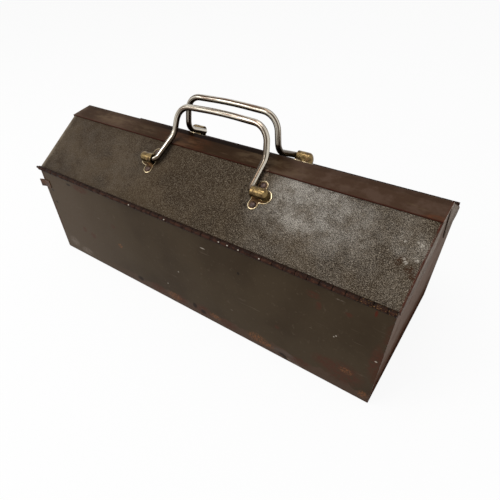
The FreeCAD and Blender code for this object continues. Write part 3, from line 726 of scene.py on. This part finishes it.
def bendPath(points, radii, steps):
    path = [points[0]]
    for before, corner, after, radius in zip(points, points[1:], points[2:], radii):
        back, ahead = (before - corner).normalized(), (after - corner).normalized()
        half = back.angle(ahead) / 2
        centre = corner + (back + ahead).normalized() * (radius / sin(half))
        start = corner + back * (radius / tan(half)) - centre
        end = corner + ahead * (radius / tan(half)) - centre
        turn = pi - 2 * half
        for count in range(steps + 1):
            done = turn * count / steps
            path.append(centre + start * (sin(turn - done) / sin(turn)) + end * (sin(done) / sin(turn)))
    return path + [points[-1]]


def tube(path, radius, sides):
    # rings carried along the path without twist
    rows = []
    direction = (path[1] - path[0]).normalized()
    across = direction.orthogonal().normalized()
    last = len(path) - 1
    for index, point in enumerate(path):
        ahead = direction if index == last else (path[index + 1] - point).normalized()
        middle = (direction + ahead).normalized()
        across = (across - middle * across.dot(middle)).normalized()
        other = middle.cross(across)
        row = []
        for side in range(sides):
            turn = 2 * pi * side / sides
            row.append(point + (across * cos(turn) + other * sin(turn)) * radius)
        rows.append(row)
        direction = ahead
    return capped(rows)


def makeBail(side):
    wire = bailWire
    shape = wire[side.name]
    pivot = side.pivot
    inwardY = -side.sign
    edge = bailRest[side.name]
    across, up = (edge[0] - pivot.y) * inwardY, edge[1] - pivot.z
    reach = hypot(across, up)
    lean = atan2(up, across) + (wire["radius"] + wire["restGap"]) * mm / reach
    stand = radians(shape["angle"])

    def leg(start, angle, length):
        return start + Vector((0, inwardY * cos(angle), sin(angle))) * length * mm

    elbow = leg(pivot, lean, wire["lowerLeg"])
    grip = leg(elbow, stand, shape["upright"])
    crown = leg(grip, stand, wire["crown"])

    def spread(point, half):
        return Vector((pivot.x + half * mm, point.y, point.z))

    halves = [wire["footSpan"] + wire["footLength"], wire["footSpan"], wire["elbowSpan"], wire["gripSpan"]]
    places = [pivot, pivot, elbow, grip]
    right = [spread(point, half) for point, half in zip(places, halves)]
    left = [spread(point, -half) for point, half in zip(places[::-1], halves[::-1])]
    crownBend = wire["crownShare"] * wire["gripSpan"] ** 2 / (2 * wire["crown"])
    bends = [bend * mm for bend in (*wire["bends"], crownBend, *wire["bends"][::-1])]
    path = bendPath(right + [spread(crown, 0)] + left, bends, wire["stepsPerBend"])
    wirePlaces, run = [], 0.0
    for index, point in enumerate(path):
        run += (point - path[index - 1]).length if index else 0.0
        for count in range(wire["sides"]):
            turn = 2 * pi * count / wire["sides"]
            wirePlaces.append((cos(turn), sin(turn), run * wire["streakRate"]))
    piece = makePiece(side.name + "Bail", tube(path, wire["radius"] * mm, wire["sides"]), wireMetal,
                      side.name + "_bail", marks={"wire": wirePlaces})
    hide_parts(side.name + "_bail")


for side in (front, rear):
    makeBail(side)
print("bails bent")


# Saddle brackets: a rimmed plate with two ears, and a dome over the foot of the bail
saddle = {"mouth": 72.3, "length": 19.4, "dome": 6.2, "pivotAbove": 6.5, "plate": 1.2, "margin": 2.2,
          "earAlong": 12.0, "earInset": 5.0, "ear": 5.9, "fillet": 2.6, "rim": 1.1, "reach": 1.3,
          "recess": 0.45, "wall": 1.2, "bevel": 0.2, "recessBevel": 0.25, "foot": 0.3, "noseHeight": 0.35,
          "sides": 120, "step": 0.05, "domeSteps": 8, "archSteps": 12}


def footprint(x, along):
    # below zero inside the plate: a foot under the dome and two round ears, blended together
    values = saddle
    half = values["dome"] + values["margin"]
    run = values["length"] - values["dome"]
    nearest = min(max(x, 0), run)
    foot = max(hypot(x - nearest, along) - half, -x)
    ears = hypot(x - values["earInset"], abs(along) - values["earAlong"]) - values["ear"]
    mix = max(values["fillet"] - abs(foot - ears), 0) / values["fillet"]
    return min(foot, ears) - mix * mix * values["fillet"] / 4


def plateEdge():
    # the plate's edge, found by stepping outward from a point between the ears
    edge = []
    for count in range(saddle["sides"]):
        angle = 2 * pi * count / saddle["sides"]
        reach = 1.0
        while footprint(saddle["earInset"] + reach * cos(angle), reach * sin(angle)) < 0:
            reach += saddle["step"]
        edge.append((angle, reach))
    return edge


def saddlePlate(place):
    # rows from the lid up the edge, over the rim and down into the recess
    values = saddle
    edge = plateEdge()
    levels = [(0, 0), (0, values["plate"] - values["bevel"]), (values["bevel"], values["plate"]),
              (values["rim"], values["plate"]),
              (values["rim"] + values["recessBevel"], values["plate"] - values["recess"])]
    rows = []
    for inset, height in levels:
        row = []
        for angle, reach in edge:
            out = reach - inset
            row.append(place(values["earInset"] + out * cos(angle), out * sin(angle), height))
        rows.append(row)
    return capped(rows)


def saddleDome(place):
    # outer and inner faces of the stamped dome, meeting round its mouth
    values = saddle
    steps, arcs = values["domeSteps"], values["archSteps"]
    run = values["length"] - values["dome"] + values["reach"]
    stations = [(0, 1), (run * 0.5, 1)]
    for count in range(steps + 1):
        turn = pi / 2 * count / steps
        stations.append((run + values["dome"] * sin(turn), max(cos(turn), 0.02)))

    def section(x, share, wall):
        radius = max((values["dome"] - wall) * share, 0.05)
        height = values["pivotAbove"] * (values["noseHeight"] + (1 - values["noseHeight"]) * share)
        outline = [(-radius, values["foot"])]
        for arc in range(arcs + 1):
            turn = pi * arc / arcs
            outline.append((-radius * cos(turn), height + radius * sin(turn)))
        outline.append((radius, values["foot"]))
        return [place(x, along, up) for along, up in outline]

    outer = [section(x, share, 0) for x, share in stations]
    inner = [section(x - (values["wall"] if x else 0), share, values["wall"]) for x, share in stations]
    return skin(inner[::-1] + outer, closed=False)


rivetShape = {"radius": 1.9, "head": 3.8, "headHeight": 1.3, "clench": 0.8, "clenchBevel": 0.3,
              "sunk": 0.4, "sheet": 1.0, "sides": 20, "headSteps": 5}


def rivet(place):
    # from the clenched end under the lid to the round head in the saddle's recess
    values = rivetShape
    head, steps = values["head"], values["headSteps"]
    seat = saddle["plate"] - saddle["recess"]
    under = -values["sheet"]
    end = under - values["clench"]
    rise = values["headHeight"] + values["sunk"]
    profile = [(end, 0.01), (end, head - values["clenchBevel"]), (end + values["clenchBevel"], head),
               (under, head), (under, values["radius"]), (seat, values["radius"]), (seat, head)]
    for count in range(1, steps + 1):
        turn = pi / 2 * count / steps
        profile.append((seat + rise * sin(turn), max(head * cos(turn), 0.01)))
    return capped(turned(profile, values["sides"], place))


def makeSaddles(side):
    values = saddle
    rivets = []
    for end, hand in (("left", -1), ("right", 1)):
        def place(x, along, up):
            return side.onLid(hand * (values["mouth"] + x) * mm, along * mm, (up - values["pivotAbove"]) * mm)
        plate, dome = saddlePlate(place), saddleDome(place)
        rim = [1.0] * (values["sides"] * 4) + [0.0] * values["sides"] + [0.5] * len(dome[0])
        piece = makePiece(f"{side.name}{end.capitalize()}Saddle", joined([plate, dome]), brass,
                          side.name + "_lid", 50, {"rim": rim})
        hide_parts(f"{side.name}_{end}_bracket")
        for along in (-values["earAlong"], values["earAlong"]):
            def onEar(up, across, other):
                return place(values["earInset"] + across, along + other, up)
            rivets.append(rivet(onEar))
    piece = makePiece(side.name + "SaddleRivets", joined(rivets), rivetMetal,
                      side.name + "_lid")
    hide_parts(side.name + "_bracket_rivets")


for side in (front, rear):
    makeSaddles(side)
print("saddles riveted on")


# Continuous hinges: rolled knuckles on two thin leaves
rolledHinge = {"radius": 2.8, "bore": 1.56, "pitch": 12.7, "cutKnuckle": 8.0, "gap": 0.3, "edge": 0.35,
               "leaf": 0.9, "width": 18.0, "clear": 0.5, "endClear": 1.3, "tabStep": 1.0, "sides": 22}


def knuckles(first):
    values = rolledHinge
    right = boxHigh.x / mm
    left = right - values["cutKnuckle"]
    spans = []
    while right > boxLow.x / mm:
        spans.append((max(left, boxLow.x / mm), right))
        right, left = left, left - values["pitch"]
    return [(low + values["gap"] / 2, high - values["gap"] / 2) for low, high in spans[first::2]]


def leafShape(side, first, plateEnds, tabEnds, toPoint):
    # knuckles bored for the pin, tabs to the leaf, and the leaf itself
    values = rolledHinge
    shapes = []

    def block(left, right, ends):
        rows = []
        for x in (left, right):
            rows.append([toPoint(x, out, down) for out, down in ends])
        return capped(rows)

    for left, right in knuckles(first):
        bore, outer, edge = values["bore"], values["radius"], values["edge"]
        slant = edge * 0.3
        profile = [(left, bore), (left, outer - edge), (left + slant, outer - slant), (left + edge, outer),
                   (right - edge, outer), (right - slant, outer - slant), (right, outer - edge),
                   (right, bore), (left, bore)]
        shapes.append(skin(turned(profile, values["sides"],
                                  lambda x, a, b: side.hinge + Vector((x, a, b)) * mm)))
        shapes.append(block(left, right, tabEnds))
    clear = values["endClear"]
    shapes.append(block(boxLow.x / mm + clear, boxHigh.x / mm - clear, plateEnds))
    return joined(shapes)


def makeHinge(side):
    values = rolledHinge
    near = values["radius"] + values["clear"]
    inside, outside = values["radius"], values["radius"] - values["leaf"]

    def bodyPoint(x, out, down):
        return side.hinge + Vector((x, -side.sign * out, -down)) * mm

    plate = [(outside, near), (inside, near), (inside, values["width"]), (outside, values["width"])]
    tab = [(outside, values["tabStep"]), (inside, 0.0), (inside, near), (outside, near)]
    piece = makePiece(side.name + "BodyLeaf", leafShape(side, 0, plate, tab, bodyPoint), hingeMetal,
                      "body")
    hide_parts(side.name + "_hinge_body_leaf")

    def lidPoint(x, below, along):
        return side.hinge + Vector((x * mm, 0, 0)) + side.uphill * along * mm - side.normal * below * mm

    piece = makePiece(side.name + "LidLeaf", leafShape(side, 1, plate, tab, lidPoint), hingeMetal,
                      side.name + "_lid")
    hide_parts(side.name + "_hinge_lid_leaf")


for side in (front, rear):
    makeHinge(side)
print("hinges rolled")


# The pieces that keep their shape get their finish here
finishes = {"body_shell": enamel, "end_panel": gable, "front_lid_panel": frontEnamel,
            "rear_lid_panel": rearEnamel, "corner_lug": lugMetal, "hinge_pin": hingeMetal,
            "_tray": trayEnamel, "lid_arm": linkMetal, "swing_arm": linkMetal, "studs": linkMetal,
            "rivet": linkMetal}
for name, piece in nodes.items():
    for ending, material in finishes.items():
        if ending in name and not piece.hide_render:
            for materialSlot in piece.material_slots:
                materialSlot.material = material
            break
print("finishes given")


# Studio: pale floor, soft light from the front and above
studio = {"floorSize": 14.0, "floor": (0.9, 0.9, 0.9), "world": 0.46, "whitening": 0.92,
          "lamps": [("key", (-1.1, -1.5, 1.4), 1.2, 15), ("ceiling", (-0.15, -0.35, 1.9), 0.9, 14)]}


def seenDirectly(tree):
    # 1 where the camera looks, also by reflection or through something clear, and 0 for light on the pieces
    rays = tree.nodes.new("ShaderNodeLightPath").outputs
    seen = sums(tree, "MAXIMUM", rays["Is Camera Ray"], rays["Is Glossy Ray"])
    return sums(tree, "MAXIMUM", seen, rays["Is Transmission Ray"])


def makeStudio():
    work = bmesh.new()
    half = studio["floorSize"] / 2
    corners = [work.verts.new((x * half, y * half, 0)) for x, y in ((-1, -1), (1, -1), (1, 1), (-1, 1))]
    work.faces.new(corners)
    mesh = bpy.data.meshes.new("studioFloor")
    work.to_mesh(mesh)
    work.free()
    floor = bpy.data.objects.new("studioFloor", mesh)
    bpy.context.scene.collection.objects.link(floor)
    material = bpy.data.materials.new("studioFloor")
    material.use_nodes = True
    tree = material.node_tree
    tree.nodes.clear()
    plain = tree.nodes.new("ShaderNodeBsdfDiffuse")
    plain.inputs["Color"].default_value = (*studio["floor"], 1)
    white = tree.nodes.new("ShaderNodeEmission")
    share = tree.nodes.new("ShaderNodeMixShader")
    output = tree.nodes.new("ShaderNodeOutputMaterial")
    tree.links.new(both(tree, seenDirectly(tree), studio["whitening"]), share.inputs[0])
    tree.links.new(plain.outputs[0], share.inputs[1])
    tree.links.new(white.outputs[0], share.inputs[2])
    tree.links.new(share.outputs[0], output.inputs["Surface"])
    mesh.materials.append(material)

    world = bpy.data.worlds.new("studio")
    bpy.context.scene.world = world
    world.use_nodes = True
    tree = world.node_tree
    background = tree.nodes["Background"]
    background.inputs["Color"].default_value = (1, 1, 1, 1)
    strength = ranged(tree, seenDirectly(tree), 0.0, 1.0, studio["world"], 1.0)
    tree.links.new(strength, background.inputs["Strength"])

    for name, place, size, power in studio["lamps"]:
        data = bpy.data.lights.new(name, "AREA")
        data.size = size
        data.energy = power
        lamp = bpy.data.objects.new(name, data)
        lamp.location = place
        aim = Vector((0, 0, 0.1)) - Vector(place)
        lamp.rotation_mode = "QUATERNION"
        lamp.rotation_quaternion = aim.to_track_quat("-Z", "Y")
        bpy.context.scene.collection.objects.link(lamp)


makeStudio()
bpy.context.scene.view_settings.view_transform = "Standard"
print("studio lit")
